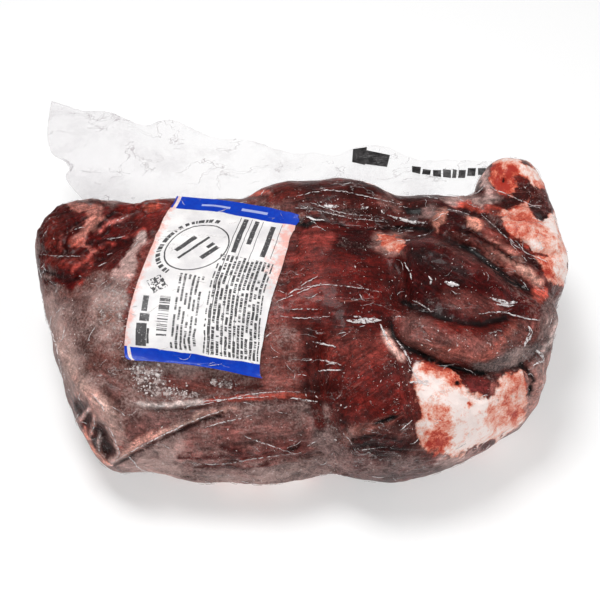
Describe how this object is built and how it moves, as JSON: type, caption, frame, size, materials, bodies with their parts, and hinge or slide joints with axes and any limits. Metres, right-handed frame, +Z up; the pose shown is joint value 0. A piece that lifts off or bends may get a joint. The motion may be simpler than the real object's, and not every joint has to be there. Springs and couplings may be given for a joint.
{
  "type": "vacuum-packed beef chuck",
  "caption": "Boneless beef chuck folded into a rounded block in a clear vacuum bag, with a paper label on top and a loose tail of film behind.",
  "frame": {"origin": "middle of the whole pack's footprint, on the surface that it rests on", "axes": "+X along the pack's length towards its fatty end, +Y towards the loose tail of film, +Z up"},
  "size_m": [0.3934, 0.3202, 0.1372],
  "materials": {
    "packed_meat": "dark red frozen meat with pale fat and frost, under clinging clear film",
    "paper_label": "white paper with blue bands and plain grey printed bars, under film",
    "clear_film": "thin clear shrink film, wrinkled, glossy"
  },
  "bodies": {
    "root": {"meat": "packed_meat", "label": "paper_label", "bag_tail": "clear_film"}
  },
  "joints": []
}
